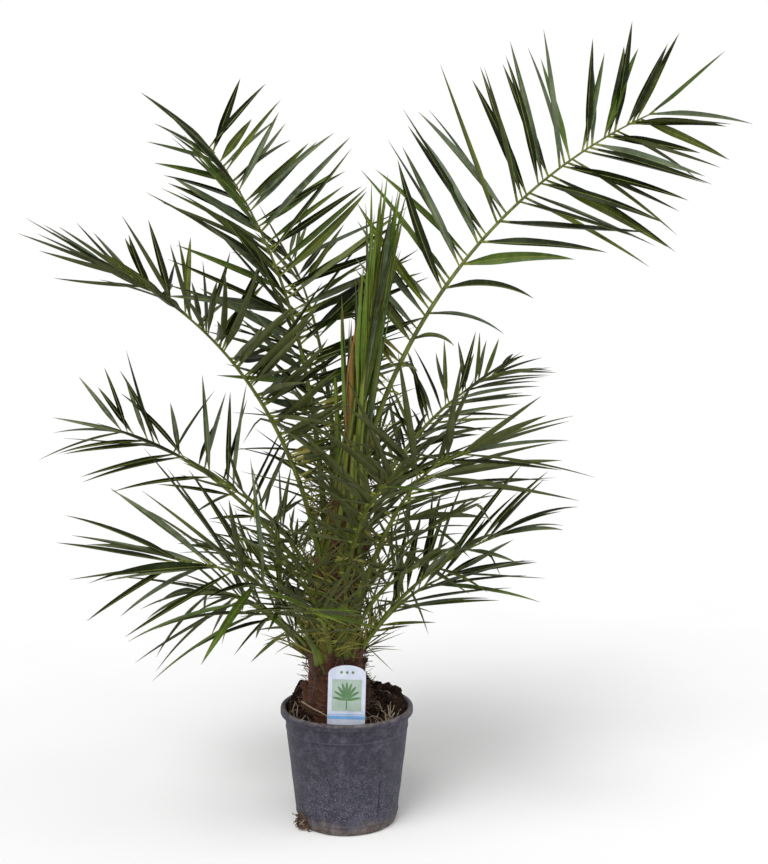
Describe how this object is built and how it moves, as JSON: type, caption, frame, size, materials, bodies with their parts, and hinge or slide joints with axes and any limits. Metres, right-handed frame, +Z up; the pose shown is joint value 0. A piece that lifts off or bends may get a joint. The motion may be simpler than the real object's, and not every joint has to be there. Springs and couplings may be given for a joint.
{
  "type": "young date palm in a nursery pot",
  "caption": "Young date palm with a short fibrous trunk, arching feather fronds and a folded spear, growing in a black plastic nursery pot with a plain plant tag.",
  "frame": {"origin": "centre of the pot's flat underside, on the surface it stands on", "axes": "+Z up along the plant's height, -Y towards the front, where the tag is, +X to the viewer's right"},
  "size_m": [1.3615, 0.9253, 1.4618],
  "materials": {
    "pot_plastic": "black-grey moulded plastic, chalky scuffs and dried mud",
    "soil": "dark crumbly potting soil with pale roots",
    "trunk_bark": "red-brown fibrous leaf bases",
    "tag_plastic": null,
    "young_leaf": "folded young leaflets, satin green with brown edges",
    "frond_leaf": "satin dark green leaflets on a yellow-green rib"
  },
  "bodies": {
    "root": {"pot": "pot_plastic", "trunk": "trunk_bark", "plant_tag": "tag_plastic", "soil": "soil", "spear": "young_leaf", "frond_tall_right_lower": "frond_leaf", "frond_tall_right_middle": "frond_leaf", "frond_tall_right_tip": "frond_leaf", "frond_tall_left_lower": "frond_leaf", "frond_tall_left_middle": "frond_leaf", "frond_tall_left_tip": "frond_leaf", "frond_arching_left_lower": "frond_leaf", "frond_arching_left_middle": "frond_leaf", "frond_arching_left_tip": "frond_leaf", "frond_middle_left_lower": "frond_leaf", "frond_middle_left_tip": "frond_leaf", "frond_low_left_lower": "frond_leaf", "frond_low_left_tip": "frond_leaf", "frond_lowest_left_lower": "frond_leaf", "frond_lowest_left_tip": "frond_leaf", "frond_lowest_right": "frond_leaf", "frond_low_right_lower": "frond_leaf", "frond_low_right_tip": "frond_leaf", "frond_middle_right_lower": "frond_leaf", "frond_middle_right_tip": "frond_leaf", "frond_upper_right_lower": "frond_leaf", "frond_upper_right_tip": "frond_leaf", "frond_tall_back_lower": "frond_leaf", "frond_tall_back_tip": "frond_leaf", "frond_middle_back_lower": "frond_leaf", "frond_middle_back_tip": "frond_leaf", "frond_right_back_lower": "frond_leaf", "frond_right_back_tip": "frond_leaf", "frond_low_back": "frond_leaf", "frond_low_front": "frond_leaf", "frond_middle_front_lower": "frond_leaf", "frond_middle_front_tip": "frond_leaf"}
  },
  "joints": []
}
